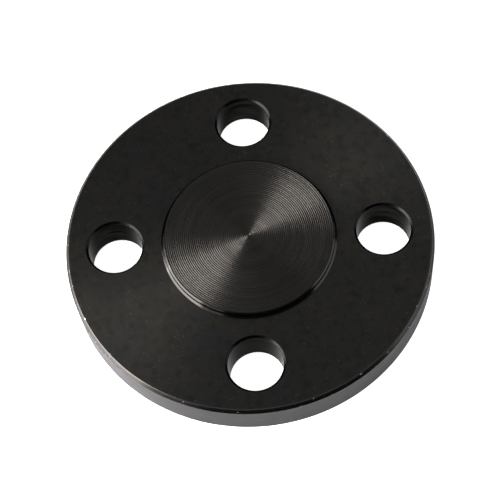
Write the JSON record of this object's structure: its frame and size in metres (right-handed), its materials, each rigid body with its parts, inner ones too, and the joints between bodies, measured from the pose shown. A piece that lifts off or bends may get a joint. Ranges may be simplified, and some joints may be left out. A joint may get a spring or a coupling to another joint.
{
  "type": "blind flange",
  "caption": "Round raised-face blind flange in black-finished forged steel: a solid machined disc with through bolt holes and a finely grooved gasket face.",
  "frame": {"origin": "centre of the flat back face, on the disc's axis", "axes": "+Z along the disc's axis, out of the raised gasket face; X and Y lie midway between the bolt holes, which straddle both centrelines"},
  "size_m": [0.109, 0.109, 0.014],
  "materials": {
    "black_oxide_steel": "turned and blackened (hot black oxide), satin, with fine concentric lathe marks"
  },
  "bodies": {
    "root": {"blind_flange": "black_oxide_steel"}
  },
  "joints": []
}
